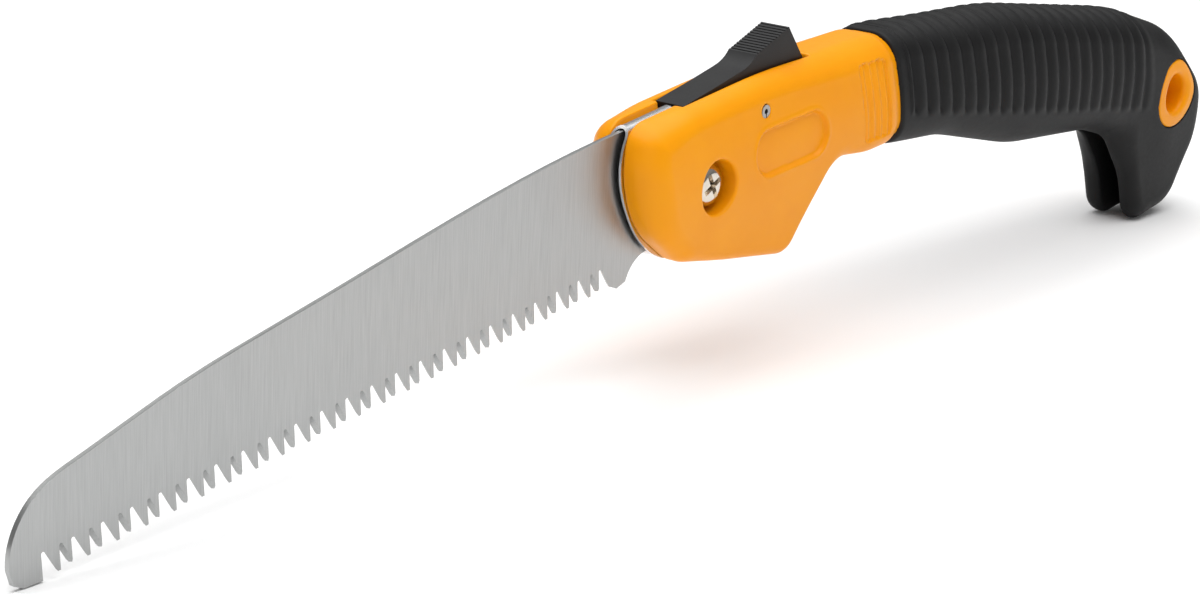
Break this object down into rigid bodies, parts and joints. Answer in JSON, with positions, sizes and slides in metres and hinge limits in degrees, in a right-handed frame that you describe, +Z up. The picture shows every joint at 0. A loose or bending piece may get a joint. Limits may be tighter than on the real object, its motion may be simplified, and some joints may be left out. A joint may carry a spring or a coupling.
{
  "type": "folding pruning saw",
  "caption": "Folding pruning saw, shown open: toothed steel blade on a screw pivot, two-tone moulded handle with ribbed rubber grip, hooked butt, hang hole and sprung lock lever.",
  "frame": {"origin": "centre of the base of the open saw's box, where it stands on its blade tip and on the hook of its handle", "axes": "+X from the blade tip to the butt of the handle, +Z up, -Y on the side of the pivot screw's head"},
  "size_m": [0.4202, 0.0224, 0.0742],
  "materials": {
    "orange_plastic": "satin moulded",
    "black_rubber": "matte moulded",
    "black_plastic": "matte moulded",
    "blade_steel": "cross brushed",
    "liner_steel": "bright zinc plated",
    "plated_steel": "nickel plated",
    "spring_steel": "plain",
    "nylon": "natural"
  },
  "bodies": {
    "handle": {"blade_washer_left": "nylon", "blade_washer_right": "nylon", "grip_overmould": "black_rubber", "handle_core": "orange_plastic", "lever_pin": "plated_steel", "lever_spring": "spring_steel", "liner": "liner_steel", "nut_insert": "nylon", "nut_washer": "plated_steel", "pivot_bush": "plated_steel", "pivot_nut": "plated_steel", "pivot_screw": "plated_steel", "screw_washer": "plated_steel"},
    "blade": {"blade": "blade_steel"},
    "lever": {"lock_lever": "black_plastic"}
  },
  "joints": [
    {"name": "blade_fold", "type": "hinge", "parent": "handle", "child": "blade", "pos_m": [-0.01612, 0, 0.04363], "axis": [0, -1, 0], "range_deg": [0, 169]},
    {"name": "lever_press", "type": "hinge", "parent": "handle", "child": "lever", "pos_m": [0.00133, 0, 0.05802], "axis": [0, 1, 0], "range_deg": [0, 8], "stiffness_Nm_per_rad": 0.6, "springref_deg": -20.05, "deforming": ["lever_spring"]}
  ]
}
